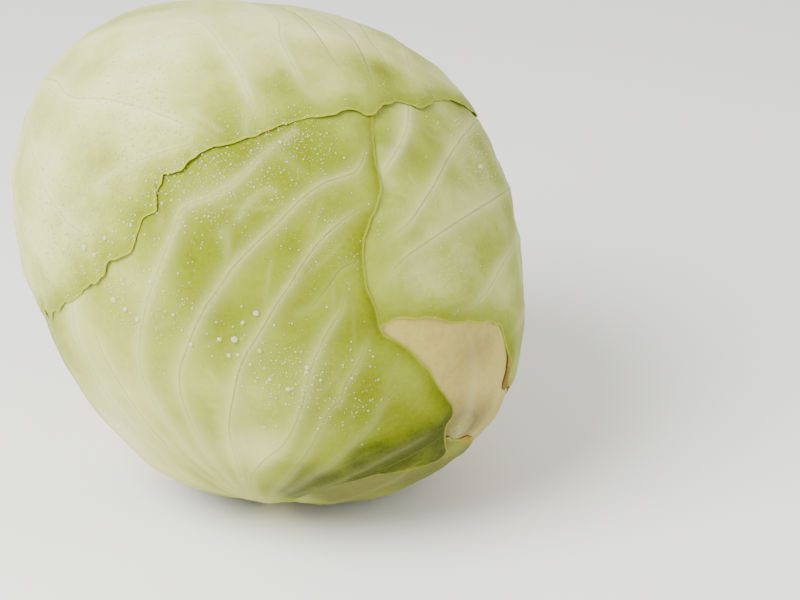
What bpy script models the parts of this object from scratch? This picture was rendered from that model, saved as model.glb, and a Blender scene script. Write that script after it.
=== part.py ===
# Green cabbage: a dense head on a tapering stem, wrapped in five overlapping leaves.
# Frame: +Z up, origin on the resting surface under the middle of the head, front towards -Y.
# A place on the head is a longitude and a latitude in degrees, seen from the head's centre.
# Longitude 0 faces -Y and 90 faces +X. Latitude 90 is the crown and -90 the stem.

import math

import bmesh
import bpy
from mathutils import Vector
from mathutils.kdtree import KDTree

MM = 0.001

# The head is a ball with three unequal radii, standing on a small flat spot
HEAD_CENTRE = Vector((0.9, 0, 83.2)) * MM
LONG_RADIUS = 93.5 * MM
DEPTH_RADIUS = 88 * MM
SHORT_RADIUS = 80 * MM
DEPTH_AXIS_RISE = 25      # degrees above the horizon, towards the front
LONG_AXIS_LEAN = 45       # degrees to the left of upright
FLAT_SPOT_BLEND = 1.5 * MM
UNDERSIDE = -0.5          # the upward share of a direction below which it can meet the floor

# Where the head swells or dips: longitude, latitude, height in mm, width in degrees
SWELLS = (
    (105, 42, 3.0, 18),
    (-155, 70, -3.5, 19),
    (-110, 50, 1.5, 16),
    (-95, 32, 1.5, 18),
    (-75, -12, -2.0, 17),
    (-38, -50, 2.5, 16),
    (20, -58, -1.5, 15),
    (70, -30, 1.0, 16),
    (85, -2, -2.5, 16),
)

# A leaf lies this far under each leaf that covers it
LEAF_THICKNESS = 1.1 * MM
LAYER_STEP = 2.3 * MM
INNER_HEAD_GAP = 1.2 * MM
RIB_END = 0.5             # share of a leaf's length after which its rib no longer stands out
RIB_SPREAD = 0.3          # share of a leaf's half width over which its rib slopes down

# Past an outer leaf's margin, the leaf below rises back to the head's surface
RISE_START = 3.0          # degrees outside the margin
RISE_END = 15.0

STEM_RADIUS = 14 * MM
STEM_TOP_RADIUS = 8 * MM
STEM_LENGTH = 72 * MM
STEM_TAPER_START = 12 * MM
STEM_EDGE = 0.8 * MM
STEM_SIDES = 36
POCKET_GAP = 0.5 * MM
POCKET_RUN_OUT = 6 * MM
MERGE_DISTANCE = 0.01 * MM

INNER_HEAD_DETAIL = 4     # icosphere subdivisions
CURVE_STEPS = 8           # fine steps between two places of a margin
MARGIN_SAMPLES = 90       # points along each side of a leaf's outline
END_SAMPLES = 12          # points along its base and its tip

INNER_COLOUR = (0.80, 0.78, 0.56, 1)
STEM_COLOUR = (0.83, 0.80, 0.64, 1)
LEAF_ROUGHNESS = 0.45

# The leaves, outermost first. Each margin and rib runs from the base at the stem to the tip.
LEAVES = (
    {
        "name": "leaf_back",
        "left": ((-80, -77), (-77, -65), (-78, -50), (-82, -34), (-82, -20), (-76, -9), (-66, -4),
                 (-58, -2), (-50, 3), (-41, 10), (-35, 14), (-33, 18), (-29, 21)),
        "rib": ((-135, -77), (-130, -40), (-122, 0), (-108, 28), (-78, 43), (-50, 44), (-36, 36),
                (-27, 29)),
        "right": ((163, -77), (163, -62), (159, -42), (151, -20), (138, 0), (122, 17), (105, 30),
                  (90, 39), (77, 46), (70, 47), (61, 48), (54, 51), (49, 51), (41, 50), (32, 52),
                  (22, 51), (8, 50), (-4, 46), (-12, 44), (-18, 40), (-21, 35)),
        "rib_height": 1.6 * MM,
        "rib_lead": 1,
        "rows": 32,
        "columns": 26,
        "colour": (0.62, 0.66, 0.33, 1),
    },
    {
        "name": "leaf_front",
        "left": ((-11, -79), (-9, -65), (-9, -57), (-14, -53), (-22, -51), (-31, -51), (-42, -52),
                 (-57, -53), (-73, -51), (-88, -43), (-98, -27), (-103, -5), (-98, 18), (-90, 38),
                 (-80, 56), (-50, 76)),
        "rib": ((0, -79), (-1, -56), (-5, -36), (-6, -10), (-5, 20), (-5, 45), (-6, 80)),
        "right": ((13, -79), (10, -60), (10, -47), (13, -39), (20, -33), (33, -34), (46, -36),
                  (46, -27), (45, -20), (40, -13), (34, -4), (29, 1), (25, 6), (23, 17), (24, 24),
                  (28, 30), (32, 36), (34, 42), (40, 50), (40, 58), (36, 70)),
        "rib_height": 1.6 * MM,
        "rib_lead": 1.25,
        "rows": 28,
        "columns": 18,
        "colour": (0.55, 0.60, 0.24, 1),
    },
    {
        "name": "leaf_low",
        "left": ((-50, -77), (-67, -70), (-78, -61), (-76, -52), (-62, -44), (-42, -37), (-12, -27)),
        "rib": ((13, -77), (12, -60), (10, -42), (10, -24)),
        "right": ((60, -77), (72, -63), (71, -50), (64, -37), (54, -29), (45, -27), (30, -23)),
        "rib_height": 0,
        "rib_lead": 1,
        "rows": 12,
        "columns": 16,
        "colour": (0.36, 0.37, 0.10, 1),
    },
    {
        "name": "leaf_right",
        "left": ((88, -79), (88, -62), (86, -46), (79, -33), (70, -26), (63, -21), (63, -16), (62, -11),
                 (57, -4), (50, 0), (41, 3), (33, 6), (26, 6), (18, 12), (14, 25), (16, 42),
                 (25, 58), (45, 70), (60, 76)),
        "rib": ((125, -79), (127, -50), (128, -20), (128, 10), (125, 40), (115, 65), (95, 79)),
        "right": ((150, -79), (165, -62), (178, -40), (188, -15), (190, 15), (182, 42), (165, 62),
                  (140, 74), (130, 80)),
        "rib_height": 1.6 * MM,
        "rib_lead": 1,
        "rows": 26,
        "columns": 24,
        "colour": (0.54, 0.57, 0.26, 1),
    },
    {
        "name": "leaf_pale",
        "left": ((30, -79), (18, -60), (9, -40), (5, -20), (7, 0), (14, 16), (28, 30)),
        "rib": ((50, -79), (50, -50), (50, -20), (49, 10), (46, 34)),
        "right": ((75, -79), (90, -62), (100, -40), (103, -18), (98, 5), (84, 22), (64, 33)),
        "rib_height": 0,
        "rib_lead": 1,
        "rows": 20,
        "columns": 16,
        "colour": (0.72, 0.63, 0.42, 1),
    },
)


def clear_scene():
    for thing in list(bpy.data.objects):
        bpy.data.objects.remove(thing, do_unlink=True)


def new_collection(name):
    collection = bpy.data.collections.new(name)
    bpy.context.scene.collection.children.link(collection)
    return collection


def new_material(name, colour):
    material = bpy.data.materials.new(name)
    material.use_nodes = True
    shader = material.node_tree.nodes["Principled BSDF"]
    shader.inputs["Base Color"].default_value = colour
    shader.inputs["Roughness"].default_value = LEAF_ROUGHNESS
    shader.inputs["Metallic"].default_value = 0
    return material


def direction(longitude, latitude):
    turn = math.radians(longitude)
    rise = math.radians(latitude)
    return Vector((math.cos(rise) * math.sin(turn), -math.cos(rise) * math.cos(turn), math.sin(rise)))


def head_axes():
    rise = math.radians(DEPTH_AXIS_RISE)
    lean = math.radians(LONG_AXIS_LEAN)
    side = Vector((1, 0, 0))
    upward = Vector((0, math.sin(rise), math.cos(rise)))
    depth_axis = Vector((0, -math.cos(rise), math.sin(rise)))
    long_axis = upward * math.cos(lean) - side * math.sin(lean)
    short_axis = upward * math.sin(lean) + side * math.cos(lean)
    return ((long_axis, LONG_RADIUS), (depth_axis, DEPTH_RADIUS), (short_axis, SHORT_RADIUS))


def smooth_minimum(first, second, blend):
    nearness = max(blend - abs(first - second), 0) / blend
    return min(first, second) - nearness * nearness * blend / 4


def head_radius(way, raised=0):
    """Distance from the head's centre to its outer surface, along a unit vector."""
    total = 0
    for axis, reach in head_axes():
        total += (way.dot(axis) / reach) ** 2
    radius = 1 / math.sqrt(total) + raised
    for longitude, latitude, height, width in SWELLS:
        angle = way.angle(direction(longitude, latitude))
        radius += height * MM * math.exp(-(angle / math.radians(width)) ** 2)
    if way.z < UNDERSIDE:
        floor_radius = HEAD_CENTRE.z / -way.z
        radius = smooth_minimum(radius, floor_radius, FLAT_SPOT_BLEND)
    return radius


def smooth_curve(places):
    """Fine unit vectors along a Catmull-Rom curve through the places."""
    ways = [direction(*place) for place in places]
    padded = [ways[0]] + ways + [ways[-1]]
    curve = []
    for first, second, third, fourth in zip(padded, padded[1:], padded[2:], padded[3:]):
        for step in range(CURVE_STEPS):
            t = step / CURVE_STEPS
            blend = 2 * second + (third - first) * t
            blend += (2 * first - 5 * second + 4 * third - fourth) * t ** 2
            blend += (3 * second - first - 3 * third + fourth) * t ** 3
            curve.append(blend.normalized())
    curve.append(ways[-1])
    return curve


def evenly_along(curve, count, lead=1):
    """The same curve as count + 1 points, evenly spaced, or with long steps first if lead is over 1."""
    lengths = [0]
    for start, end in zip(curve, curve[1:]):
        lengths.append(lengths[-1] + (end - start).length)
    points = []
    piece = 0
    for index in range(count + 1):
        target = lengths[-1] * (1 - (1 - index / count) ** lead)
        while piece < len(curve) - 2 and lengths[piece + 1] < target:
            piece += 1
        share = (target - lengths[piece]) / (lengths[piece + 1] - lengths[piece])
        points.append(curve[piece].lerp(curve[piece + 1], share).normalized())
    return points


def flatten(way, centre, across, up):
    """Place of a unit vector on a map whose distances from the centre are true."""
    angle = centre.angle(way)
    bearing = math.atan2(way.dot(up), way.dot(across))
    return angle * math.cos(bearing), angle * math.sin(bearing)


class Outline:
    """A leaf's margin on the head, for telling how far outside it a place is."""

    def __init__(self, leaf):
        left = evenly_along(smooth_curve(leaf["left"]), MARGIN_SAMPLES)
        right = evenly_along(smooth_curve(leaf["right"]), MARGIN_SAMPLES)
        base, self.centre, tip = evenly_along(smooth_curve(leaf["rib"]), 2)
        self.across = self.centre.orthogonal().normalized()
        self.up = self.centre.cross(self.across)
        tip_edge = evenly_along([left[-1], tip, right[-1]], END_SAMPLES)
        base_edge = evenly_along([right[0], base, left[0]], END_SAMPLES)
        ring = left + tip_edge[1:-1] + right[::-1] + base_edge[1:-1]
        self.flat = [flatten(way, self.centre, self.across, self.up) for way in ring]
        self.tree = KDTree(len(ring))
        for index, way in enumerate(ring):
            self.tree.insert(way, index)
        self.tree.balance()

    def holds(self, way):
        x, y = flatten(way, self.centre, self.across, self.up)
        inside = False
        for (x1, y1), (x2, y2) in zip(self.flat, self.flat[1:] + self.flat[:1]):
            if (y1 > y) != (y2 > y) and x < x1 + (y - y1) * (x2 - x1) / (y2 - y1):
                inside = not inside
        return inside

    def cover(self, way):
        """1 under the leaf and just past its margin, falling to 0 further out."""
        if self.holds(way):
            return 1
        chord = self.tree.find(way)[2]
        outside = math.degrees(2 * math.asin(chord / 2))
        share = min(max((outside - RISE_START) / (RISE_END - RISE_START), 0), 1)
        return 1 - share * share * (3 - 2 * share)


def surface_point(way, outlines_above, raised=0, sunk=0):
    depth = sunk
    for outline in outlines_above:
        depth += LAYER_STEP * outline.cover(way)
    return way * (head_radius(way, raised) - depth)


def leaf_way(left, rib, right, share_up, side):
    """Unit vector on a leaf's grid: share_up from base to tip, side from -1 to 1."""
    row = round(share_up * (len(rib) - 1))
    if side < 0:
        return left[row].slerp(rib[row], 1 + side)
    return rib[row].slerp(right[row], side)


def make_leaf(leaf, outlines_above, collection):
    left = evenly_along(smooth_curve(leaf["left"]), leaf["rows"])
    rib = evenly_along(smooth_curve(leaf["rib"]), leaf["rows"], leaf["rib_lead"])
    right = evenly_along(smooth_curve(leaf["right"]), leaf["rows"])
    shape = bmesh.new()
    bmesh.ops.create_grid(shape, x_segments=leaf["columns"], y_segments=leaf["rows"], size=1)
    for vertex in shape.verts:
        share_up = (vertex.co.y + 1) / 2
        near_rib = max(1 - abs(vertex.co.x) / RIB_SPREAD, 0)
        raised = leaf["rib_height"] * max(1 - share_up / RIB_END, 0) * near_rib ** 2
        way = leaf_way(left, rib, right, share_up, vertex.co.x)
        vertex.co = surface_point(way, outlines_above, raised=raised)
    bmesh.ops.triangulate(shape, faces=shape.faces)
    shape.normal_update()
    shape.faces.ensure_lookup_table()
    middle = shape.faces[len(shape.faces) // 2]
    if middle.normal.dot(middle.calc_center_median()) < 0:
        bmesh.ops.reverse_faces(shape, faces=shape.faces)
    mesh = bpy.data.meshes.new(leaf["name"])
    shape.to_mesh(mesh)
    shape.free()
    mesh.shade_smooth()
    thing = bpy.data.objects.new(leaf["name"], mesh)
    thing.location = HEAD_CENTRE
    mesh.materials.append(new_material(leaf["name"], leaf["colour"]))
    wall = thing.modifiers.new("wall", "SOLIDIFY")
    wall.thickness = LEAF_THICKNESS
    wall.offset = -1
    collection.objects.link(thing)


def turned(name, profile, collection):
    """A solid turned round the Z axis from a profile that runs from its top to its bottom."""
    mesh = bpy.data.meshes.new(name)
    points = [(radius, 0, height) for radius, height in profile]
    edges = [(index, index + 1) for index in range(len(points) - 1)]
    mesh.from_pydata(points, edges, [])
    thing = bpy.data.objects.new(name, mesh)
    screw = thing.modifiers.new("turn", "SCREW")
    screw.steps = STEM_SIDES
    screw.render_steps = STEM_SIDES
    screw.use_merge_vertices = True
    screw.merge_threshold = MERGE_DISTANCE
    screw.use_smooth_shade = True
    collection.objects.link(thing)
    return thing


def stem_profile(grow, run_out):
    """Top to bottom: a rounded tip, a taper, and the cut end."""
    top = STEM_LENGTH + grow
    tip = STEM_TOP_RADIUS + grow
    foot = STEM_RADIUS + grow
    profile = [(0, top)]
    for angle in (30, 60, 90):
        turn = math.radians(angle)
        profile.append((tip * math.sin(turn), top - tip + tip * math.cos(turn)))
    profile.append((foot, STEM_TAPER_START))
    profile.append((foot, STEM_EDGE - run_out))
    profile.append((foot - STEM_EDGE, -run_out))
    profile.append((0, -run_out))
    return profile


def make_stem(collection):
    stem = turned("stem", stem_profile(0, 0), collection)
    stem.location.x = HEAD_CENTRE.x
    stem.data.materials.append(new_material("stem", STEM_COLOUR))


def make_inner_head(outlines, collection, cutters):
    shape = bmesh.new()
    bmesh.ops.create_icosphere(shape, subdivisions=INNER_HEAD_DETAIL, radius=1)
    for vertex in shape.verts:
        vertex.co = surface_point(vertex.co.normalized(), outlines, sunk=INNER_HEAD_GAP)
    mesh = bpy.data.meshes.new("inner_head")
    shape.to_mesh(mesh)
    shape.free()
    mesh.shade_smooth()
    thing = bpy.data.objects.new("inner_head", mesh)
    thing.location = HEAD_CENTRE
    mesh.materials.append(new_material("inner_head", INNER_COLOUR))
    collection.objects.link(thing)
    pocket = turned("stem_pocket", stem_profile(POCKET_GAP, POCKET_RUN_OUT), cutters)
    pocket.location.x = HEAD_CENTRE.x
    pocket.hide_render = True
    pocket.display_type = "WIRE"
    cut = thing.modifiers.new("stem_pocket", "BOOLEAN")
    cut.operation = "DIFFERENCE"
    cut.object = pocket


def main():
    clear_scene()
    parts = new_collection("green_cabbage")
    cutters = new_collection("cutters")
    outlines = [Outline(leaf) for leaf in LEAVES]
    make_stem(parts)
    make_inner_head(outlines, parts, cutters)
    for index, leaf in enumerate(LEAVES):
        make_leaf(leaf, outlines[:index], parts)


main()
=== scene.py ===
import math
import random
from itertools import product

import bpy
import numpy as np
from mathutils import Matrix, Vector, noise
from mathutils.bvhtree import BVHTree
from mathutils.kdtree import KDTree


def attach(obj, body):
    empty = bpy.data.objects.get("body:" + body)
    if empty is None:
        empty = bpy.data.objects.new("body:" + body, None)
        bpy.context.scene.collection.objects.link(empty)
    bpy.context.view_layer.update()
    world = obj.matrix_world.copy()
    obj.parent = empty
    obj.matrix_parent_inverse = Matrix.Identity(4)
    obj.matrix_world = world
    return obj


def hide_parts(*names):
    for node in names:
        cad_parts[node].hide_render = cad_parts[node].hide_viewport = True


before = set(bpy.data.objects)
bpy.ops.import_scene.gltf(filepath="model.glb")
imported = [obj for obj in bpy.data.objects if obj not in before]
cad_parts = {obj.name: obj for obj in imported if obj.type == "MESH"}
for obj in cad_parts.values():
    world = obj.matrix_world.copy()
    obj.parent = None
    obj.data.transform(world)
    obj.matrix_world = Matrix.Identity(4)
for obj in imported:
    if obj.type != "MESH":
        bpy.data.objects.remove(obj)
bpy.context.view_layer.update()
print("frame loaded, nodes:", sorted(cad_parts))

mm = 0.001
# A place on the head is a longitude and a latitude in degrees from the head's centre.
# Longitude 0 faces the camera (-Y), 90 faces right (+X). Latitude 90 is the crown.

# The head's form, in mm, as in the part's source
head = {
    "centre": (0.9, 0.0, 83.2),
    "longRadius": 93.5,
    "depthRadius": 88.0,
    "shortRadius": 80.0,
    "depthAxisRise": 25,
    "longAxisLean": 45,
    "flatSpotBlend": 1.5,
    # longitude, latitude, height in mm, width in degrees
    "swells": (
        (105, 42, 3.0, 18), (-155, 70, -3.5, 19), (-110, 50, 1.5, 16), (-95, 32, 1.5, 18),
        (-75, -12, -2.0, 17), (-38, -50, 2.5, 16), (20, -58, -1.5, 15), (70, -30, 1.0, 16),
        (85, -2, -2.5, 16),
    ),
    "floorReach": -0.5,  # the upward share of a direction below which it can meet the floor
    "riseStart": 0.3,  # mm outside an outer leaf's margin where the leaf below starts to rise
    "riseEnd": 13.0,  # and where it is back up
}
headCentre = np.array(head["centre"])
meanRadius = 88  # mm, turns an angle at the head's centre into a length on its skin
curveSteps = 10  # points between two listed places of a smooth curve


def direction(lon, lat):
    turn = np.radians(lon)
    rise = np.radians(lat)
    return np.stack([np.cos(rise) * np.sin(turn), -np.cos(rise) * np.cos(turn), np.sin(rise)], axis=-1)


def unit(vectors):
    return vectors / np.linalg.norm(vectors, axis=-1, keepdims=True)


def ease(value, start, end):
    share = np.clip((value - start) / (end - start), 0, 1)
    return share * share * (3 - 2 * share)


def headAxes():
    rise = math.radians(head["depthAxisRise"])
    lean = math.radians(head["longAxisLean"])
    side = np.array([1.0, 0, 0])
    upward = np.array([0, math.sin(rise), math.cos(rise)])
    depthAxis = np.array([0, -math.cos(rise), math.sin(rise)])
    longAxis = upward * math.cos(lean) - side * math.sin(lean)
    shortAxis = upward * math.sin(lean) + side * math.cos(lean)
    return ((longAxis, head["longRadius"]), (depthAxis, head["depthRadius"]), (shortAxis, head["shortRadius"]))


def headRadius(ways, raised):
    total = 0
    for axis, reach in headAxes():
        total = total + (ways @ axis / reach) ** 2
    radius = 1 / np.sqrt(total) + raised
    for lon, lat, height, width in head["swells"]:
        angle = np.arccos(np.clip(ways @ direction(lon, lat), -1, 1))
        radius = radius + height * np.exp(-(angle / math.radians(width)) ** 2)
    down = np.maximum(-ways[:, 2], 0.3)
    floorRadius = np.where(ways[:, 2] < head["floorReach"], headCentre[2] / down, 1e6)
    blend = head["flatSpotBlend"]
    nearness = np.maximum(blend - np.abs(radius - floorRadius), 0) / blend
    return np.minimum(radius, floorRadius) - nearness * nearness * blend / 4


def smoothCurve(places):
    ways = direction(*np.array(places, float).T)
    padded = np.vstack([ways[:1], ways, ways[-1:]])
    curve = []
    for first, second, third, fourth in zip(padded, padded[1:], padded[2:], padded[3:]):
        for step in range(curveSteps):
            t = step / curveSteps
            blend = 2 * second + (third - first) * t
            blend = blend + (2 * first - 5 * second + 4 * third - fourth) * t ** 2
            blend = blend + (3 * second - first - 3 * third + fourth) * t ** 3
            curve.append(blend)
    curve.append(2 * ways[-1])
    return unit(np.array(curve))


def evenly(curve, count, lead=1.0, stops=()):
    # stops tie places of a smooth curve, by number, to shares of the rows
    steps = np.linalg.norm(np.diff(curve, axis=0), axis=1)
    lengths = np.concatenate([[0], np.cumsum(steps)])
    rows = np.linspace(0, 1, count + 1)
    wanted = lengths[-1] * (1 - (1 - rows) ** lead)
    if stops:
        tied = [lengths[place * curveSteps] for place, share in stops]
        wanted = np.interp(rows, [share for place, share in stops], tied)
    return unit(np.stack([np.interp(wanted, lengths, curve[:, axis]) for axis in range(3)], axis=1))


def lumps(points, size, seed):
    # smooth noise from -1 to 1 with lumps of that size in mm
    shift = Vector((seed * 17.3, seed * 5.1, seed * 9.7))
    return np.array([noise.noise(Vector(point) / size + shift) for point in points])


def wavyMargin(places, count, lead, wave, seed, stops=()):
    # the margin with small in-plane waves, which fade out at its base
    curve = evenly(smoothCurve(places), count, lead, stops)
    along = unit(np.gradient(curve, axis=0))
    aside = np.cross(curve, along)
    points = curve * meanRadius
    shift = lumps(points, 7.0, seed) + 0.8 * lumps(points, 3.4, seed + 1)
    shift = shift + 0.7 * np.abs(lumps(points, 4.6, seed + 9))
    share = np.linspace(0, 1, count + 1)
    fade = ease(share, 0.03, 0.15) * ease(share, 1.0, 0.985)
    return unit(curve + aside * (shift * fade * wave / meanRadius)[:, None])


def slerp(start, end, share):
    angle = np.arccos(np.clip(np.sum(start * end, axis=1), -1, 1))
    angle = np.maximum(angle, 1e-6)
    first = np.sin((1 - share) * angle) / np.sin(angle)
    second = np.sin(share * angle) / np.sin(angle)
    return unit(start * first[:, None] + end * second[:, None])


class LeafOutline:
    # tells how far outside a leaf's margin a place is, in mm, below 0 inside it

    def __init__(self, left, rib, right):
        self.centre = rib[len(rib) // 2]
        tipEdge = evenly(np.array([left[-1], rib[-1], right[-1]]), 16)
        baseEdge = evenly(np.array([right[0], rib[0], left[0]]), 16)
        ring = np.vstack([left, tipEdge[1:-1], right[::-1], baseEdge[1:-1]])
        self.across = unit(np.cross(self.centre, [0.31, 0.2, 0.93]))
        self.up = np.cross(self.centre, self.across)
        self.flat = self.flatten(ring)
        self.tree = KDTree(len(ring))
        for index, way in enumerate(ring):
            self.tree.insert(way, index)
        self.tree.balance()

    def flatten(self, ways):
        angle = np.arccos(np.clip(ways @ self.centre, -1, 1))
        bearing = np.arctan2(ways @ self.up, ways @ self.across)
        return np.stack([angle * np.cos(bearing), angle * np.sin(bearing)], axis=1)

    def outside(self, ways):
        x, y = self.flatten(ways).T
        inside = np.zeros(len(ways), bool)
        for (x1, y1), (x2, y2) in zip(self.flat, np.roll(self.flat, -1, axis=0)):
            if y1 != y2:
                crosses = ((y1 > y) != (y2 > y)) & (x < x1 + (y - y1) * (x2 - x1) / (y2 - y1))
                inside ^= crosses
        far = np.array([self.tree.find(way)[2] for way in ways]) * meanRadius
        return np.where(inside, -far, far)


veinForm = {
    # height and width, as shares of the vein's own, of its narrow ridge and its wide shoulder
    "ridge": (0.75, 1.2), "shoulder": (0.45, 3.4),
    # paleness and width of its bright line and its soft band
    "line": (0.34, 0.95), "band": (0.30, 2.6),
    "tip": 0.45,  # share of its width at its tip
    "twigTip": 0.3,
    "twigReach": (8, 17),  # mm
    "spacing": 0.6,  # mm between a vein's points
    "farthest": 14,  # mm from a vein where it no longer counts
    "foldShadeStart": 0.1,  # share of its length where the painted shade in its fold begins to show
    "foldShadeFull": 0.55,
}


class VeinMap:
    # how a leaf's veins lift and colour a place. All lengths are in mm.

    def __init__(self, veins, twigSeed, twigCount):
        self.veins = []
        for places, width, height, pale, crease in veins:
            self.add(smoothCurve(places), width, height, pale, crease, veinForm["tip"])
        picker = random.Random(twigSeed)
        for curve, width, height, pale, crease, tip in list(self.veins):
            if pale > 0.3 and len(curve) > 40:
                self.addTwigs(curve, width, height, pale, picker, twigCount)

    def add(self, curve, width, height, pale, crease, tip):
        length = np.sum(np.linalg.norm(np.diff(curve, axis=0), axis=1)) * meanRadius
        count = max(int(length / veinForm["spacing"]), 6)
        self.veins.append((evenly(curve, count), width, height, pale, crease, tip))

    def addTwigs(self, curve, width, height, pale, picker, count):
        for index in range(count):
            start = int(len(curve) * (0.15 + 0.8 * (index + picker.random()) / count))
            if start >= len(curve) - 3:
                continue
            side = 1 if (index % 2) else -1
            along = unit(curve[start + 2] - curve[start - 1])
            aside = unit(np.cross(curve[start], along)) * side
            reach = picker.uniform(*veinForm["twigReach"]) / meanRadius
            lean = picker.uniform(0.55, 1.0)
            curl = picker.uniform(-0.35, 0.5)
            steps = np.linspace(0, 1, 9)[:, None]
            path = curve[start] + reach * (along * steps * (1 + curl * steps)
                                           + aside * lean * steps * (1 - 0.55 * curl * steps))
            self.add(unit(path), width * 0.5, abs(height) * 0.25, pale * 0.3, 0.0, veinForm["twigTip"])

    def at(self, ways):
        count = len(ways)
        lift = np.zeros(count)
        pale = np.zeros(count)
        bestRatio = np.full(count, 1e6)
        creaseSide = np.full(count, 20.0)
        creaseNear = np.full(count, 20.0)
        creasePower = np.zeros(count)
        (ridge, ridgeWidth), (shoulder, shoulderWidth) = veinForm["ridge"], veinForm["shoulder"]
        (line, lineWidth), (band, bandWidth) = veinForm["line"], veinForm["band"]
        for curve, width, height, paleness, crease, tip in self.veins:
            middle = unit(curve.mean(axis=0))
            reach = math.acos(np.clip(np.min(curve @ middle), -1, 1)) + veinForm["farthest"] / meanRadius
            limit = math.cos(min(reach, math.pi))
            near = np.nonzero(ways @ middle > limit)[0]
            if len(near) == 0:
                continue
            tangents = unit(np.gradient(curve, axis=0))
            sides = np.cross(curve, tangents)
            for chunk in np.array_split(near, max(len(near) // 20000, 1)):
                closeness = ways[chunk] @ curve.T
                nearest = np.argmax(closeness, axis=1)
                offset = (ways[chunk] - curve[nearest]) * meanRadius
                far = np.linalg.norm(offset, axis=1)
                aside = np.sum(offset * sides[nearest], axis=1)
                share = nearest / (len(curve) - 1)
                taper = 1 - (1 - tip) * share
                fade = ease(1 - share, 0, 0.12) * 0.85 + 0.15
                ratio = far / (width * taper)
                bump = ridge * np.exp(-(ratio / ridgeWidth) ** 2) + shoulder * np.exp(-(ratio / shoulderWidth) ** 2)
                bump = height * taper * bump * fade * (0.3 + 0.7 * ease(share, 0, 0.15))
                lift[chunk] = np.where(np.abs(bump) > np.abs(lift[chunk]), bump, lift[chunk])
                cream = line * np.exp(-(ratio / lineWidth) ** 2) + band * np.exp(-(ratio / bandWidth) ** 2)
                pale[chunk] = np.maximum(pale[chunk], cream * paleness * fade)
                mine = (ratio < bestRatio[chunk]) & (crease > 0)
                wins = chunk[mine]
                bestRatio[wins] = ratio[mine]
                creaseSide[wins] = aside[mine]
                creaseNear[wins] = far[mine]
                shows = 0.15 + 0.85 * ease(share, veinForm["foldShadeStart"], veinForm["foldShadeFull"])
                creasePower[wins] = (crease * fade * shows)[mine]
        return {"lift": lift, "pale": pale, "side": creaseSide, "near": creaseNear, "power": creasePower}


def spots(ways, places):
    # soft round spots: longitude, latitude, amount, width in degrees
    total = np.zeros(len(ways))
    for lon, lat, amount, width in places:
        angle = np.arccos(np.clip(ways @ direction(lon, lat), -1, 1))
        total += amount * np.exp(-(angle / math.radians(width)) ** 2)
    return total


def selectOnly(thing):
    bpy.ops.object.select_all(action="DESELECT")
    thing.select_set(True)
    bpy.context.view_layer.objects.active = thing


def giveValues(mesh, name, values):
    store = mesh.attributes.new(name, "FLOAT", "POINT")
    store.data.foreach_set("value", np.asarray(values, np.float32))


def linearColour(code):
    # sRGB hex to linear, which the shader takes
    parts = [int(code[start:start + 2], 16) / 255 for start in (1, 3, 5)]
    linear = [part / 12.92 if part <= 0.04045 else ((part + 0.055) / 1.055) ** 2.4 for part in parts]
    return (*linear, 1)


def setInputs(node, values):
    for socket, value in values.items():
        node.inputs[socket].default_value = value


def addNode(tree, kind, settings=None, values=None, links=None):
    # one node with its settings, its fixed values and what feeds it
    made = tree.nodes.new("ShaderNode" + kind)
    for name, value in (settings or {}).items():
        setattr(made, name, value)
    setInputs(made, values or {})
    for socket, source in (links or {}).items():
        tree.links.new(source, made.inputs[socket])
    return made


def newMaterial(name):
    material = bpy.data.materials.new(name)
    material.use_nodes = True
    return material, material.node_tree, material.node_tree.nodes["Principled BSDF"]


def paintRamp(node, shades):
    # the first and the last shade take the two stops that a new ramp has
    stops = node.color_ramp.elements
    for stop, (position, shade) in zip((stops[0], stops[1]), (shades[0], shades[-1])):
        stop.position = position
        stop.color = linearColour(shade)
    for position, shade in shades[1:-1]:
        stops.new(position).color = linearColour(shade)


def setMode(name):
    bpy.ops.object.mode_set(mode=name)


leafFinish = {
    "green": "#909A38",
    "deep": "#707A05",
    "olive": "#3C4200",
    "veinCream": "#CFCF92",
    "creaseShade": "#6C7330",
    # rim is painted light: the yellow-green glow of light through the thin margin
    "rim": "#A9B038",
    "brown": "#917A2C",
    "charred": "#6B5A1A",
    "roughness": 0.42,
    "softness": 0.12,
    # mm across a lump, detail and roughness of each noise
    "noises": {
        "mottle": (18.0, 2.0, 0.5),  # patches of deeper and paler green
        "speckle": (2.2, 4.0, 0.6),
        "bend": (6.0, 2.0, 0.5),  # bends the net of veins
        "scorch": (1.6, 5.0, 0.65),  # breaks up the dried brown
        "grain": (0.5, 2.0, 0.5),  # the waxy bloom, drawn as coarse as it needs to show
    },
    "netSize": 1.9,  # mm across a mesh of the finest veins
    "netBend": 2.2,  # mm
    "bumpDepth": 0.25,  # mm
    "seeInto": 2.0,  # mm that light goes into the leaf
}


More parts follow.
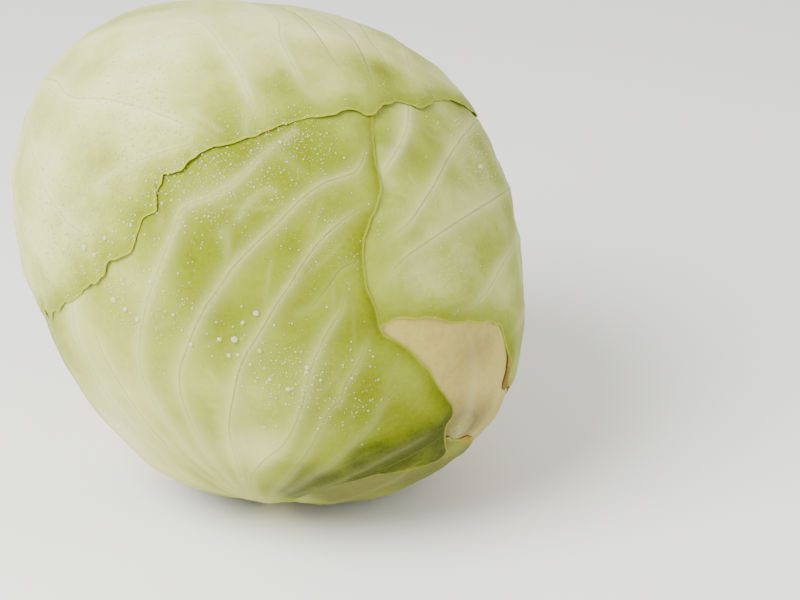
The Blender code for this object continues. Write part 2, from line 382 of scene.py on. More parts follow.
def leafMaterial(leaf):
    # Living cabbage leaf under a waxy bloom: a satin, slightly see-into skin, pale where a vein runs and greener
    # between the veins, with painted shade in each vein's fold and a painted glow of light through the thin margin.
    material, tree, shader = newMaterial("waxyCabbageLeaf_" + leaf["piece"])
    look = leafFinish
    mottling, roughness = leaf["mottling"], leaf.get("roughness", look["roughness"])
    place = addNode(tree, "TexCoord").outputs["Object"]
    readings = {}
    for name in ("green", "pale", "creaseSide", "creaseNear", "creasePower", "edge", "dry"):
        readings[name] = addNode(tree, "Attribute", {"attribute_name": name}).outputs["Fac"]
    noises = {}
    for name, (size, detail, rough) in look["noises"].items():
        noises[name] = addNode(tree, "TexNoise", None,
                               {"Scale": 1 / (size * mm), "Detail": detail, "Roughness": rough}, {"Vector": place})
    bent = addNode(tree, "VectorMath", {"operation": "MULTIPLY_ADD"},
                   {1: (look["netBend"] * mm,) * 3}, {0: noises["bend"].outputs["Color"], 2: place})
    net = addNode(tree, "TexVoronoi", {"feature": "DISTANCE_TO_EDGE"},
                  {"Scale": 1 / (look["netSize"] * mm)}, {"Vector": bent.outputs[0]})
    # side is 0 on a fold's line, and near keeps stray lines out
    sideSize = addNode(tree, "Math", {"operation": "ABSOLUTE"}, None, {0: readings["creaseSide"]})
    dryness = addNode(tree, "Math", {"operation": "MULTIPLY_ADD"}, {1: 0.9},
                      {0: noises["scorch"].outputs["Fac"], 2: readings["dry"]})

    # each reading turned to a share: its two ends, the share at each, and how it runs between
    speckle = noises["speckle"].outputs["Fac"]
    for name, source, start, end, first, last, run in (
            ("mottle", noises["mottle"].outputs["Fac"], 0.25, 0.75, -mottling, mottling, "LINEAR"),
            ("speckle", speckle, 0.3, 0.7, -0.03, 0.03, "LINEAR"),
            ("ragged", speckle, 0.3, 0.7, 0.7, 1.3, "LINEAR"),
            ("satin", speckle, 0.3, 0.7, roughness - 0.05, roughness + 0.07, "LINEAR"),
            ("net", net.outputs["Distance"], 0.0, 0.25, 0.02, 0.0, "SMOOTHSTEP"),
            # foldShade: painted shade along the line of each vein's fold
            ("foldShade", sideSize.outputs[0], 0.05, 0.5, 0.7, 0.0, "SMOOTHSTEP"),
            ("close", readings["creaseNear"], 0.75, 1.35, 1.0, 0.0, "SMOOTHSTEP"),
            # rim: painted glow of light through the thin margin, strongest at its very edge
            ("rim", readings["edge"], 0.2, 1.1, 0.45, 0.0, "SMOOTHSTEP"),
            ("brown", dryness.outputs[0], 0.75, 1.05, 0.0, 1.0, "SMOOTHSTEP"),
            ("charred", dryness.outputs[0], 1.1, 1.45, 0.0, 1.0, "SMOOTHSTEP")):
        made = addNode(tree, "MapRange", {"interpolation_type": run},
                       {"From Min": start, "From Max": end, "To Min": first, "To Max": last}, {"Value": source})
        readings[name] = made.outputs["Result"]
    for name, operation, first, second in (
            ("deeper", "ADD", "green", "mottle"), ("deepest", "ADD", "deeper", "speckle"),
            ("raggedPale", "MULTIPLY", "pale", "ragged"), ("foldShadeHere", "MULTIPLY", "foldShade", "close"),
            ("foldShadePower", "MULTIPLY", "foldShadeHere", "creasePower")):
        made = addNode(tree, "Math", {"operation": operation}, None,
                       {0: readings[first], 1: readings[second]})
        readings[name] = made.outputs[0]

    # the leaf's greens, then what lies on them in turn: net, veins, painted shade in the folds, the rim's painted
    # glow and what has dried
    greens = addNode(tree, "ValToRGB", None, None, {"Fac": readings["deepest"]})
    paintRamp(greens, ((0.0, leaf["cream"]), (0.25, leaf["tint"]), (0.5, look["green"]), (0.75, look["deep"]),
                       (1.0, look["olive"])))
    colour = greens.outputs["Color"]
    for shade, share in (("veinCream", "net"), ("veinCream", "raggedPale"), ("creaseShade", "foldShadePower"),
                         ("rim", "rim"), ("brown", "brown"), ("charred", "charred")):
        layer = addNode(tree, "Mix", {"data_type": "RGBA"}, {7: linearColour(look[shade])},
                        {0: readings[share], 6: colour})
        colour = layer.outputs[2]
    tree.links.new(colour, shader.inputs["Base Color"])

    # satin wax, a little uneven, with next to no gloss of its own
    tree.links.new(readings["satin"], shader.inputs["Roughness"])
    relief = addNode(tree, "Math", {"operation": "MULTIPLY_ADD"}, {1: 0.12},
                     {0: noises["grain"].outputs["Fac"], 2: readings["net"]})
    fold = addNode(tree, "Math", {"operation": "MULTIPLY_ADD"}, {1: -1.2},
                   {0: readings["foldShadePower"], 2: relief.outputs[0]})
    bump = addNode(tree, "Bump", None, {"Strength": 0.5, "Distance": look["bumpDepth"] * mm},
                   {"Height": fold.outputs[0]})
    tree.links.new(bump.outputs["Normal"], shader.inputs["Normal"])
    setInputs(shader, {"IOR": 1.42, "Specular IOR Level": 0.03,
                       "Subsurface Weight": leaf.get("softness", look["softness"]),
                       "Subsurface Radius": (1.0, 0.9, 0.4), "Subsurface Scale": look["seeInto"] * mm})
    return material


# The leaves, outermost first. Margins and ribs run from the base at the stem to the tip.
# A vein is its places, half width, height, paleness and the strength of the painted shade in its fold.
# Spots are longitude, latitude, amount and width in degrees.
backLeaf = {
    "piece": "backLeaf", "node": "leaf_back", "slot": "back_leaf",
    "left": ((-80, -77), (-77, -65), (-78, -50), (-82, -34), (-82, -20), (-76, -9), (-67, -5), (-62, -5),
             (-61, -2), (-58, -4), (-56, -1), (-52, 1), (-50, 3), (-44, 7), (-41, 10), (-37, 12),
             (-35, 14.5), (-34, 17), (-31.5, 18.8), (-28.5, 21), (-27.8, 24), (-27, 26.8), (-25.8, 28.6),
             (-23.9, 29.6), (-24.8, 31.8), (-24.6, 33.8), (-23.9, 35.2)),
    "rib": ((-135, -77), (-130, -40), (-122, 0), (-108, 28), (-80, 45), (-52, 48), (-34, 43), (-24, 37)),
    "right": ((163, -77), (163, -62), (159, -42), (151, -20), (138, 0), (122, 17), (105, 30), (90, 39),
              (85, 43), (77, 46), (70, 47), (64, 47), (61, 48), (59, 49), (54, 51), (49, 51), (45, 51),
              (41, 50), (38, 50), (35, 51), (32, 52), (28, 52), (22, 51), (13, 51), (8, 50), (5, 49),
              (1, 48), (-4, 46), (-8, 45), (-12, 44), (-14.5, 43), (-16.3, 41.4), (-18.3, 40.2),
              (-19.6, 38.5), (-21.5, 37.5)),
    "leads": (0.9, 1.1, 1.1), "rows": 310, "columns": 150, "ribHeight": 1.6,
    "wave": 0.85, "lift": 0.42, "step": 0.95, "thickness": 0.75, "seed": 3,
    "cream": "#E0DFAF", "tint": "#BFC374", "mottling": 0.11, "greenness": 0.25,
    "veins": (
        (((-135, -77), (-130, -40), (-122, 0), (-114, 18)), 6, 1.5, 0.95, 0),
        (((-122, 0), (-108, 28), (-85, 42), (-68, 44), (-51, 48), (-35, 49), (-24, 48), (-16, 47), (-12, 46)),
         2.6, 0.75, 0.75, 0.45),
        (((-108, 28), (-98, 45), (-85, 60), (-62, 73), (-21, 68), (-8, 61), (-3, 55), (1, 50)), 2.8, 0.55, 0.8, 0.3),
        (((-118, 8), (-117, 30), (-118, 50), (-122, 68), (-140, 83), (20, 83), (13, 74), (15, 67), (17, 61),
          (19, 57), (23, 54)), 2.3, 0.5, 0.7, 0.4),
        (((-122, -4), (-126, 20), (-131, 42), (-140, 60), (-165, 75), (120, 85), (67, 81), (44, 71), (40, 66),
          (40, 59)), 1.9, -0.55, 0.35, 0.9),
        (((-126, -16), (-134, 10), (-143, 32), (-155, 52), (-175, 68), (140, 77), (84, 72), (65, 66), (52, 59),
          (44, 53)), 1.9, -0.6, 0.35, 0.9),
        (((-128, -28), (-140, -4), (-152, 18), (-166, 38), (170, 54), (135, 63), (105, 67), (86, 66), (72, 61),
          (60, 55)), 2, -0.5, 0.3, 0.7),
        (((-130, -42), (-146, -20), (-160, 2), (-175, 22), (165, 38), (140, 50), (118, 56), (105, 57), (80, 55),
          (72, 50)), 2.2, 0.6, 0.6, 0.5),
        (((-132, -54), (-150, -36), (-168, -16), (178, 4), (160, 22), (143, 36), (122, 40), (105, 38)),
         2.3, 0.6, 0.65, 0.5),
        (((-134, -66), (-155, -54), (-172, -38), (175, -20), (160, -4), (146, 6)), 2.3, 0.6, 0.7, 0.5),
        (((-135, -70), (-168, -66), (176, -56), (165, -44)), 2, 0.5, 0.7, 0.3),
        (((-42, 31), (-36, 36), (-29, 40), (-21, 43), (-16, 45)), 1.4, 0.35, 0.45, 0.5),
        (((-43, 45), (-39, 42), (-35, 38), (-33, 33)), 1.2, 0.3, 0.4, 0.4),
        (((-22, 51), (-10, 47)), 1, 0.25, 0.35, 0.3),
        (((-115, 14), (-96, 28), (-78, 31), (-60, 26), (-46, 22), (-36, 22)), 2, 0.5, 0.55, 0.4),
        (((-122, -4), (-106, 10), (-88, 18), (-70, 16), (-56, 10), (-48, 6)), 2.2, 0.55, 0.6, 0.4),
        (((-127, -24), (-110, -10), (-92, 0), (-76, 0), (-62, -5)), 2.3, 0.55, 0.65, 0.4),
        (((-130, -42), (-112, -30), (-94, -20), (-76, -20)), 2.3, 0.55, 0.65, 0.4),
        (((-133, -58), (-114, -50), (-94, -42), (-78, -40)), 2.2, 0.5, 0.7, 0.3),
    ),
    "veinPaleness": 1.35, "twigs": 7,
    "greenSpots": ((-22, 63, 0.2, 7), (9, 59, 0.3, 6), (-12, 49, 0.26, 5), (22, 68, 0.16, 6), (62, 59, 0.36, 6),
                   (-8, 55, 0.18, 5), (52, 64, 0.16, 6), (-40, 66, -0.12, 14), (-75, 15, -0.02, 16),
                   (-44, 14, 0.14, 6), (-47, 25, 0.1, 8), (-40, 38, 0.14, 6), (-26, 52, 0.16, 6),
                   (40, 59, 0.08, 6), (-35, 26, 0.12, 9), (-130, 60, 0.12, 14), (170, 40, 0.15, 16),
                   (175, 0, 0.12, 18), (-150, -70, -0.3, 18), (165, -70, -0.25, 16), (-85, -70, -0.2, 14)),
    "marginGreen": (0.32, 6.5),
}
frontLeaf = {
    "piece": "frontLeaf", "node": "leaf_front", "slot": "front_leaf",
    "left": ((-11, -79), (-9, -65), (-9, -57), (-14, -53), (-22, -51), (-31, -51), (-42, -52), (-57, -53),
             (-73, -51), (-88, -43), (-98, -27), (-103, -5), (-98, 18), (-90, 38), (-80, 56), (-50, 76)),
    "rib": ((0, -79), (-1, -56), (-5, -36), (-6, -10), (-5, 20), (-5, 45), (-6, 80)),
    "right": ((13, -79), (10, -62), (9, -50), (12, -43), (17, -39), (21.5, -36.5), (26, -34.5), (31, -33.4),
              (37, -33.6), (43, -34.7), (47, -34.8), (48, -32), (46, -29), (44.5, -26.5), (43.2, -23.5),
              (43.2, -21.5), (44.3, -19.3), (43, -16.5), (40, -13), (37, -8), (34, -4), (32, -1), (29, 2),
              (26, 4), (25, 6), (24, 11), (23, 15), (23, 20), (24, 24), (26, 27), (28, 29), (31, 33),
              (32, 36), (34, 42), (37, 46), (40, 50), (40, 58), (36, 70)),
    "leads": (0.7, 1.1, 1),
    "rightStops": ((0, 0), (2, 0.1), (4, 0.19), (6, 0.24), (7, 0.3), (9, 0.35), (11, 0.39), (16, 0.44),
                   (20, 0.485), (23, 0.53), (27, 0.63), (31, 0.71), (35, 0.83), (37, 1)),
    "rows": 290, "columns": 170, "ribHeight": 0,
    "wave": 0.4, "lift": 0.12, "liftSpots": ((36, -32, 0.5, 8),), "step": 0.75, "thickness": 0.6, "seed": 11,
    "cream": "#DEDCB5", "tint": "#BCBF72", "mottling": 0.08, "greenness": 0.72,
    "veins": (
        (((-10, -57), (-18, -48), (-34, -28), (-43, -8), (-46, 6), (-48, 20)), 2.6, 0.55, 0.8, 0.5),
        (((-10, -56), (-22, -50), (-40, -36), (-56, -18), (-66, -2), (-70, 14)), 2.6, 0.5, 0.75, 0.3),
        (((-10, -57), (-26, -51), (-50, -42), (-74, -30), (-90, -14), (-94, 2)), 2.4, 0.5, 0.75, 0.3),
        (((-9, -54), (-14, -42), (-25, -28), (-34, -10), (-40, 4)), 2.2, 0.55, 0.7, 0.6),
        (((-8, -52), (-13, -38), (-22, -20), (-26, -4), (-24, 9), (-21, 19), (-19, 25), (-17, 31), (-10, 34),
          (-4, 38), (2, 43), (6, 43), (11, 39)), 2.5, 0.6, 0.85, 0.45),
        (((2, 43), (13, 49)), 1.6, 0.4, 0.6, 0.5),
        (((-7, -50), (-10, -36), (-15, -20), (-17, -6), (-14, 4), (-11, 11), (-7, 17), (-5, 20), (0, 25),
          (5, 29), (10, 33), (16, 36), (21, 37), (26, 38), (31, 42), (35, 46)), 2.3, 0.55, 0.8, 0.75),
        (((-6, -50), (-6, -34), (-7, -18), (-5, -6), (-3, 1), (1, 8), (4, 13), (7, 17), (10, 21), (14, 25),
          (19, 28), (24, 30), (28, 31)), 2.2, 0.55, 0.75, 0.8),
        (((8, 11), (11, 12), (13, 14), (15, 16), (18, 19), (23, 20)), 1.3, -0.2, 0.2, 0.8),
        (((0, -70), (-1, -56), (-4, -36), (0, -26), (5, -19), (8, -11), (10, -2), (12, 3), (14, 7), (17, 11),
          (18, 14), (19, 16)), 2.6, 0.55, 0.7, 0.55),
        (((-1, -50), (4, -36), (10, -22), (14, -11), (16, -9), (17, -5), (19, -2), (21, 2), (23, 6)),
         2.2, 0.45, 0.45, 0.5),
        (((1, -48), (8, -36), (17, -24), (23, -16), (25, -11), (29, -7)), 2.2, 0.4, 0.35, 0.4),
        (((3, -46), (12, -39), (23, -30), (33, -24), (40, -22)), 2.2, 0.35, 0.2, 0.4),
        (((-17, 11), (-14, 12), (-11, 15)), 1, 0.15, 0.15, 0.6),
        (((-7, 27), (-6, 23), (-5, 20)), 1.2, 0.3, 0.5, 0.2),
        (((-4, 30), (1, 35), (6, 35)), 1.3, 0.3, 0.45, 0.3),
        (((0, -79), (-1, -66), (-3, -54)), 6, 0.3, 0.9, 0),
        (((14, -42), (22, -37), (31, -35), (41, -31)), 2.2, -0.6, 0, 0.8),
        (((20, -33), (29, -31), (38, -27), (44, -24)), 2, -0.5, 0, 0.5),
    ),
    "veinPaleness": 0.75, "twigs": 6,
    # The deep spots low on the right and at the foot are painted shade where the leaf folds under and turns down
    # from the light; the other spots are its own greener and paler patches.
    "greenSpots": ((-45, -36, -0.6, 22), (-30, -12, -0.24, 17), (38, -14, 0.06, 6), (33, -28, 0.24, 8),
                   (44, -27, 0.28, 8), (23, -25, 0.34, 5), (30, -32, 0.2, 4), (40, -33, 0.2, 4), (26, -37, -0.15, 4),
                   (30, 49, -0.2, 8), (26, 32, -0.1, 5), (22, 14, -0.14, 6), (-45, 2, -0.32, 12),
                   (-29, 17, -0.26, 8), (-11, -6, -0.2, 9), (3, -4, -0.2, 9), (0, 26, 0.1, 7), (8, -29, 0.34, 6),
                   (0, -24, -0.44, 10), (-11, 13, 0.08, 5), (32, -8, -0.06, 7), (9, -40, 0.4, 6),
                   (18, -35, 0.3, 5), (0, -74, -0.4, 10)),
    "marginGreen": (0.12, 4),
}
lowLeaf = {
    "piece": "lowLeaf", "node": "leaf_low", "slot": "low_leaf",
    "left": ((-50, -77), (-67, -70), (-78, -61), (-76, -52), (-62, -44), (-42, -37), (-12, -27)),
    "rib": ((13, -77), (12, -60), (10, -42), (10, -24)),
    "right": ((60, -77), (72, -63), (71, -50), (66, -41), (62, -35.5), (58, -32), (54.5, -29.5), (51, -29.5),
              (48, -28), (44, -26), (38, -24), (30, -23)),
    "leads": (1, 1, 0.7), "rows": 100, "columns": 150, "ribHeight": 0.8,
    "wave": 1, "lift": 0.5, "step": 1, "thickness": 0.7, "seed": 23,
    # Its own olive, darkened further as painted shade: it lies low, under the front leaf's margin and turned from
    # the light.
    "cream": "#6F6B3C", "tint": "#5F6128", "mottling": 0.05, "greenness": 0.22, "roughness": 0.46, "softness": 0.08,
    "veins": (
        (((13, -77), (12, -60), (10, -42)), 4, 0.5, 0.5, 0),
        (((13, -74), (28, -62), (44, -50), (56, -38)), 1.8, 0.5, 0.35, 0.6),
        (((13, -75), (36, -66), (56, -56), (67, -46)), 1.8, 0.5, 0.35, 0.5),
        (((13, -72), (20, -58), (30, -44), (40, -32)), 1.8, 0.5, 0.3, 0.7),
        (((13, -74), (-6, -64), (-26, -54), (-40, -46)), 1.8, 0.5, 0.4, 0.4),
        (((13, -76), (-16, -72), (-40, -64), (-52, -56)), 1.8, 0.5, 0.4, 0.4),
    ),
    "veinPaleness": 0.45, "twigs": 4,
    "greenSpots": ((0, -75, -0.3, 12), (-25, -57, 0.35, 12), (54, -33, 0.08, 6), (28, -36, -0.1, 5),
                   (40, -54, 0.12, 12), (5, -54, 0.3, 9)),
    "drySpots": ((56, -30, 1, 3.2), (62, -35, 0.6, 4)),
}
rightLeaf = {
    "piece": "rightLeaf", "node": "leaf_right", "slot": "right_leaf",
    "left": ((88, -79), (88, -62), (86, -46), (81, -33), (75, -26.5), (69, -23), (65, -22), (63, -20),
             (63.3, -17), (62.4, -13), (60.5, -9), (58.5, -5), (55, -2), (50, 0), (41, 3), (37, 5), (33, 6),
             (28, 7), (24, 6), (18, 12), (14, 25), (16, 42), (25, 58), (45, 70), (60, 76)),
    "rib": ((125, -79), (127, -50), (128, -20), (128, 10), (125, 40), (115, 65), (95, 79)),
    "right": ((150, -79), (165, -62), (178, -40), (188, -15), (190, 15), (182, 42), (165, 62), (140, 74),
              (130, 80)),
    "leads": (0.7, 0.9, 0.7), "rows": 270, "columns": 160, "ribHeight": 1.6,
    "wave": 0.55, "lift": 0.25, "step": 0.95, "thickness": 0.8, "seed": 31,
    "cream": "#DEDBB3", "tint": "#C2C47F", "mottling": 0.11, "greenness": 0.42,
    "veins": (
        (((125, -79), (127, -50), (128, -20), (127, 5)), 5.5, 1.3, 0.95, 0),
        (((127, 5), (124, 25), (118, 40), (108, 50)), 3.2, 0.5, 0.7, 0.3),
        (((128, 0), (118, 18), (102, 30), (80, 36), (59, 35), (45, 30), (35, 25), (26, 22)), 2.3, 0.55, 0.75, 0.7),
        (((127, 15), (118, 36), (98, 50), (75, 53), (58, 49), (46, 43), (34, 37), (27, 33)), 2.8, 0.6, 0.85, 0.45),
        (((128, -18), (112, 2), (92, 15), (70, 21), (50, 22), (37, 20), (31, 18), (25, 13)), 2, 0.5, 0.6, 0.7),
        (((128, -34), (112, -14), (95, 0), (80, 8), (64, 9), (51, 5), (42, 5)), 2.2, 0.5, 0.6, 0.5),
        (((127, -50), (112, -33), (96, -19), (82, -10), (70, -8), (62, -8)), 2.2, 0.5, 0.6, 0.4),
        (((126, -63), (110, -52), (95, -41), (82, -33), (73, -28)), 2.2, 0.5, 0.7, 0.3),
        (((127, -58), (140, -46), (152, -33), (160, -20)), 2.2, 0.5, 0.7, 0.3),
        (((128, -34), (140, -20), (150, -8), (158, 6)), 2.2, 0.5, 0.7, 0.3),
    ),
    "veinPaleness": 1.2, "twigs": 7,
    "greenSpots": ((40, 8, 0.06, 7), (50, 38, 0.14, 7), (35, 42, 0.2, 7), (28, 24, 0.2, 6), (75, 20, 0.08, 10),
                   (80, -10, 0.12, 12), (105, -60, -0.25, 14), (125, -65, -0.3, 16), (64, -10, 0.15, 8),
                   (115, 15, 0.1, 14)),
    "marginGreen": (0.22, 6),
    "drySpots": ((65, -20, 1.15, 4.5), (64, -15, 0.5, 3.5)),
}
paleLeaf = {
    "piece": "paleLeaf", "node": "leaf_pale", "slot": "pale_leaf",
    "left": ((30, -79), (18, -60), (9, -40), (5, -20), (7, 0), (14, 16), (28, 30)),
    "rib": ((50, -79), (50, -50), (50, -20), (49, 10), (46, 34)),
    "right": ((75, -79), (90, -62), (100, -40), (103, -18), (98, 5), (84, 22), (64, 33)),
    "leads": (1, 1, 1), "rows": 120, "columns": 100, "ribHeight": 0.4,
    "wave": 0.2, "lift": 0.2, "step": 1, "thickness": 0.8, "seed": 41,
    # Its own cream, darkened as painted shade since it lies deep between the outer leaves; the tint is painted shade
    # too, and its spots darken it towards the tint where the low and right leaves close over it.
    "cream": "#B3A459", "tint": "#665A30", "mottling": 0.04, "greenness": 0.02, "roughness": 0.40, "softness": 0.15,
    "veins": (
        (((50, -79), (50, -50), (49, -20), (47, 0)), 4, 0.35, 0.4, 0),
        (((50, -60), (62, -44), (76, -30), (86, -14)), 2.2, 0.25, 0.3, 0.15),
        (((50, -55), (57, -36), (64, -18), (66, -2)), 2.2, 0.25, 0.3, 0.15),
        (((50, -55), (42, -38), (35, -22), (33, -6)), 2.2, 0.25, 0.3, 0.15),
    ),
    "veinPaleness": 1, "twigs": 3,
    "greenSpots": ((49, -6, 0.1, 5), (60, -27, 0.1, 7), (49, -25, 0.22, 7), (46, -18, 0.06, 5),
                   (70, -50, 0.1, 12)),
}
leaves = (backLeaf, frontLeaf, lowLeaf, rightLeaf, paleLeaf)
blade = {
    "rimThickness": 0.42,  # share of the leaf's thickness at its margin
    "rimWidth": 3.0,  # mm over which it thins
    "rimDrop": 0.48,  # share of the step down to the next leaf that the margin bends down
    "rimDropWidth": 1.6,
    "liftWidth": 3.0,  # mm from the margin that its ragged lift reaches
    "curlWidth": 5.0,  # mm from the margin that a curled spot reaches
    "hollowLimit": 0.32,  # mm, so a hollow stays shallower than the step down to the leaf below
    "veinSmooth": 0.6,  # share of the puckering that a pale vein smooths away
    "ribWidth": 0.3,  # share of the half blade that the midrib swells
    "dryWidth": 4.0,  # mm from the margin that it dries
    "patchSize": 24.0,  # mm across a broad patch of colour
    "patchAmount": 0.06,
    "basePaleness": 0.35,
    "veinRise": 1.4,  # how much higher than listed the veins stand
    "puckerSize": 13.0,
    "puckerHeight": 0.75,
    "wrinkleSize": 7.0,
    "wrinkleHeight": 0.15,
}


def makeBlade(leaf, outlinesAbove):
    bpy.ops.object.select_all(action="DESELECT")
    bpy.ops.mesh.primitive_grid_add(x_subdivisions=leaf["columns"], y_subdivisions=leaf["rows"], size=2)
    piece = bpy.context.object
    piece.name = leaf["piece"]
    mesh = piece.data
    mesh.name = leaf["piece"]
    rows = leaf["rows"]
    leftLead, ribLead, rightLead = leaf["leads"]
    left = wavyMargin(leaf["left"], rows, leftLead, leaf["wave"], leaf["seed"])
    right = wavyMargin(leaf["right"], rows, rightLead, leaf["wave"], leaf["seed"] + 5, leaf.get("rightStops", ()))
    rib = evenly(smoothCurve(leaf["rib"]), rows, ribLead)
    grid = np.zeros(len(mesh.vertices) * 3)
    mesh.vertices.foreach_get("co", grid)
    grid = grid.reshape(-1, 3)
    row = np.rint((grid[:, 1] + 1) / 2 * rows).astype(int)
    side = np.clip(grid[:, 0], -1, 1)
    leftWays = slerp(left[row], rib[row], 1 + np.minimum(side, 0))
    rightWays = slerp(rib[row], right[row], np.maximum(side, 0))
    ways = np.where((side < 0)[:, None], leftWays, rightWays)
    outline = LeafOutline(left, rib, right)
    edge = np.maximum(-outline.outside(ways), 0)

    # depth under the outer leaves, and how freely this leaf's own relief shows
    depth = np.zeros(len(ways))
    free = np.ones(len(ways))
    for above, step in outlinesAbove:
        outside = above.outside(ways)
        depth += step * (1 - ease(outside, head["riseStart"], head["riseEnd"]))
        free *= ease(outside, -0.5, 4.0)
    veins = VeinMap(leaf["veins"], leaf["seed"], leaf["twigs"]).at(ways)
    points = ways * meanRadius
    share = row / rows
    nearRib = np.maximum(1 - np.abs(side) / blade["ribWidth"], 0)
    ribLift = leaf["ribHeight"] * np.maximum(1 - share / 0.5, 0) * nearRib ** 2
    pucker = lumps(points, blade["puckerSize"], leaf["seed"]) * blade["puckerHeight"]
    wrinkle = lumps(points, blade["wrinkleSize"], leaf["seed"] + 2) * blade["wrinkleHeight"]
    ragged = np.maximum(0.7 + 1.9 * lumps(points, 13.0, leaf["seed"] + 4), 0)
    lifted = leaf["lift"] * np.exp(-(edge / blade["liftWidth"]) ** 2) * ragged
    lifted = lifted + spots(ways, leaf.get("liftSpots", ())) * np.exp(-(edge / blade["curlWidth"]) ** 2)
    lifted = lifted - blade["rimDrop"] * leaf["step"] * np.exp(-(edge / blade["rimDropWidth"]) ** 2)
    loose = 1 - blade["veinSmooth"] * np.clip(veins["pale"], 0, 1)
    relief = veins["lift"] * blade["veinRise"] + (pucker + wrinkle) * loose
    hollow = blade["hollowLimit"]
    relief = np.where(relief < 0, hollow * np.tanh(relief / hollow), relief) + lifted
    radius = headRadius(ways, ribLift + relief * free) - depth
    places = (headCentre + ways * radius[:, None]) * mm
    mesh.vertices.foreach_set("co", places.ravel())
    mesh.update()

    marginAmount, marginReach = leaf.get("marginGreen", (0, 1))
    green = leaf["greenness"] + spots(ways, leaf["greenSpots"])
    green = green + marginAmount * np.exp(-(edge / marginReach) ** 2)
    green = green + blade["patchAmount"] * lumps(points, blade["patchSize"], leaf["seed"] + 7)
    green = green - blade["basePaleness"] * ease(share, 0.22, 0.0)
    dry = spots(ways, leaf.get("drySpots", ())) * np.exp(-(edge / blade["dryWidth"]) ** 2)
    for name, values in (("green", np.clip(green, 0, 1)), ("pale", veins["pale"] * leaf["veinPaleness"]),
                         ("creaseSide", veins["side"]), ("creaseNear", veins["near"]),
                         ("creasePower", veins["power"]), ("edge", edge), ("dry", dry)):
        giveValues(mesh, name, values)

    # the wall, thinner towards the margin
    thin = piece.vertex_groups.new(name="wall")
    wall = blade["rimThickness"] + (1 - blade["rimThickness"]) * ease(edge, 0, blade["rimWidth"])
    for index, amount in enumerate(wall):
        thin.add([index], float(amount), "REPLACE")
    selectOnly(piece)
    middle = mesh.polygons[len(mesh.polygons) // 2]
    if middle.normal.dot(middle.center - Vector(headCentre * mm)) < 0:
        setMode("EDIT")
        bpy.ops.mesh.select_all(action="SELECT")
        bpy.ops.mesh.flip_normals()
        setMode("OBJECT")
    bpy.ops.object.modifier_add(type="SOLIDIFY")
    modifier = piece.modifiers[-1]
    modifier.thickness = leaf["thickness"] * mm
    modifier.offset = -1
    modifier.vertex_group = "wall"
    bpy.ops.object.modifier_apply(modifier=modifier.name)
    piece.vertex_groups.clear()
    bpy.ops.object.shade_smooth_by_angle(angle=math.radians(50))
    mesh.materials.clear()
    mesh.materials.append(leafMaterial(leaf))
    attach(piece, "root")
    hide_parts(leaf["node"])
    print("leaf made:", leaf["piece"], len(mesh.polygons), "faces")
    return piece, outline


outlines = []
blades = []
for leaf in leaves:
    made, outline = makeBlade(leaf, outlines)
    blades.append(made)
    outlines.append((outline, leaf["step"]))


# The cut stem with its core, which tapers up inside the head, in mm
stemCut = {
    "radius": 14.0,
    "taperStart": 12.0,
    "taper": ((30, 11.2), (22, 9.0), (5, 7.6), (2.2, 5.2), (0.8, 2.4)),  # each rise and the radius there
    "edge": 1.0,
    "cutRings": 5,
    "cutRingWidth": 2.0,
    "fibreSize": 1.4,
    "sides": 96,
    "hollow": 0.5,  # mm that the cut's middle has shrunk in while drying
    "flesh": "#D8D2A6",
    "fibre": "#B9B27A",
    "dried": "#A98F5C",
}


def stemMaterial():
    # Cut cabbage stem: moist ivory flesh, a ring of darker fibre bundles and a drying rim
    material, tree, shader = newMaterial("cutCabbageStem")
    look = stemCut
    place = addNode(tree, "TexCoord").outputs["Object"]
    flatPlace = addNode(tree, "VectorMath", {"operation": "MULTIPLY_ADD"},
                        {1: (1, 1, 0), 2: (-headCentre[0] * mm, 0, 0)}, {0: place})
    reach = addNode(tree, "VectorMath", {"operation": "LENGTH"}, None, {0: flatPlace.outputs[0]})
    ring = addNode(tree, "MapRange", None,
                   {"From Min": 0.0, "From Max": look["radius"] * mm}, {"Value": reach.outputs["Value"]})
    bands = addNode(tree, "ValToRGB", None, None, {"Fac": ring.outputs["Result"]})
    flesh = look["flesh"]
    paintRamp(bands, ((0.0, flesh), (0.52, flesh), (0.62, look["fibre"]), (0.72, flesh), (0.9, flesh),
                      (1.0, look["dried"])))
    fibres = addNode(tree, "TexVoronoi", None, {"Scale": 1 / (look["fibreSize"] * mm)}, {"Vector": place})
    fibreShade = addNode(tree, "MapRange", {"interpolation_type": "SMOOTHSTEP"},
                         {"From Min": 0.1, "From Max": 0.5, "To Min": 0.35, "To Max": 0.0},
                         {"Value": fibres.outputs["Distance"]})
    cutColour = addNode(tree, "Mix", {"data_type": "RGBA"}, {7: linearColour(look["dried"])},
                        {0: fibreShade.outputs["Result"], 6: bands.outputs["Color"]})
    tree.links.new(cutColour.outputs[2], shader.inputs["Base Color"])
    bump = addNode(tree, "Bump", None, {"Strength": 0.6, "Distance": 0.3 * mm},
                   {"Height": fibres.outputs["Distance"]})
    tree.links.new(bump.outputs["Normal"], shader.inputs["Normal"])
    setInputs(shader, {"Roughness": 0.55, "IOR": 1.4})
    return material


